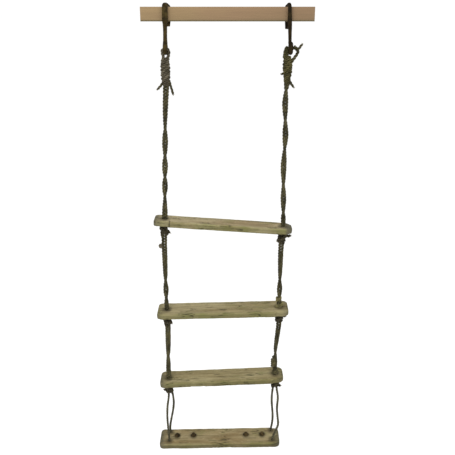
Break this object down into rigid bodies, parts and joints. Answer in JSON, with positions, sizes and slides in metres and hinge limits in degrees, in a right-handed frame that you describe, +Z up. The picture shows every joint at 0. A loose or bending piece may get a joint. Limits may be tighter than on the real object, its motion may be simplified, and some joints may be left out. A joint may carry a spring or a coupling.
{
  "type": "rope ladder",
  "caption": "Escape rope ladder: forged hooks over a timber bar carry doubled ropes that are knotted under drilled board rungs, the lowest rung bolted",
  "frame": {"origin": "centre of the hanging bar's underside", "axes": "+X along the bar to the right, +Y to the back, away from the ladder, +Z up; the ladder hangs down along -Z in front of the bar"},
  "size_m": [0.54, 0.1552, 1.647],
  "materials": {
    "planed_timber": "clean planed softwood, pinkish tan with ochre patches and a darker lower arris",
    "forged_iron": "hammered wrought iron, almost black with brown and olive rust",
    "rope": "weathered three-strand natural fibre rope, olive brown with grey flecks and loose fibres",
    "seizing_cord": "rope bound diagonally round itself, grey brown and fibrous",
    "weathered_board": "weathered softwood, silvery olive tan, open grain, worn edges with green algae",
    "rusty_bolts": "dark brown rust over plain steel"
  },
  "bodies": {
    "bar": {"hanging_bar": "planed_timber"},
    "hooks": {"left_hook": "forged_iron", "right_hook": "forged_iron"},
    "span_1": {"left_eye": "rope", "right_eye": "rope", "left_seizing": "seizing_cord", "right_seizing": "seizing_cord", "left_end_outer": "rope", "left_end_inner": "rope", "right_end_upper": "rope", "right_end_lower": "rope", "left_rope_1a": "rope", "left_rope_1b": "rope", "right_rope_1a": "rope", "right_rope_1b": "rope"},
    "step_1": {"rung_1": "weathered_board", "left_knot_1": "rope", "right_knot_1": "rope"},
    "span_2": {"left_rope_2a": "rope", "left_rope_2b": "rope", "right_rope_2a": "rope", "right_rope_2b": "rope", "left_stopper": "rope"},
    "step_2": {"rung_2": "weathered_board", "left_knot_2": "rope", "right_knot_2": "rope"},
    "span_3": {"left_rope_3a": "rope", "left_rope_3b": "rope", "right_rope_3a": "rope", "right_rope_3b": "rope"},
    "step_3": {"rung_3": "weathered_board", "left_knot_3": "rope", "right_knot_3": "rope"},
    "step_4": {"left_rope_4": "rope", "right_rope_4": "rope", "rung_4": "weathered_board", "foot_bolts": "rusty_bolts", "foot_washers": "rusty_bolts", "foot_nuts": "rusty_bolts"}
  },
  "joints": [
    {"name": "hook_lift", "type": "slide", "parent": "bar", "child": "hooks", "axis": [0, 0, 1], "range_m": [0, 0.056]},
    {"name": "ladder_swing", "type": "hinge", "parent": "hooks", "child": "span_1", "pos_m": [0, -0.051, -0.0812], "axis": [1, 0, 0], "range_deg": [-75, 75]},
    {"name": "rung_1_tilt", "type": "hinge", "parent": "span_1", "child": "step_1", "pos_m": [-0.01338, -0.051, -0.64331], "axis": [-0.9977, 0, 0.068], "range_deg": [-75, 75]},
    {"name": "span_2_swing", "type": "hinge", "parent": "step_1", "child": "span_2", "pos_m": [-0.0192, -0.051, -0.72861], "axis": [-0.9977, 0, 0.068], "range_deg": [-75, 75]},
    {"name": "rung_2_tilt", "type": "hinge", "parent": "span_2", "child": "step_2", "pos_m": [-0.01762, -0.051, -0.97326], "axis": [0.9997, 0, 0.0262], "range_deg": [-75, 75]},
    {"name": "span_3_swing", "type": "hinge", "parent": "step_2", "child": "span_3", "pos_m": [-0.01538, -0.051, -1.05873], "axis": [0.9997, 0, 0.0262], "range_deg": [-75, 75]},
    {"name": "rung_3_tilt", "type": "hinge", "parent": "span_3", "child": "step_3", "pos_m": [-0.02314, -0.051, -1.26028], "axis": [-0.9988, 0, -0.048], "range_deg": [-75, 75]},
    {"name": "rung_4_swing", "type": "hinge", "parent": "step_3", "child": "step_4", "pos_m": [-0.01904, -0.051, -1.34568], "axis": [-0.9988, 0, -0.048], "range_deg": [-75, 75]}
  ]
}
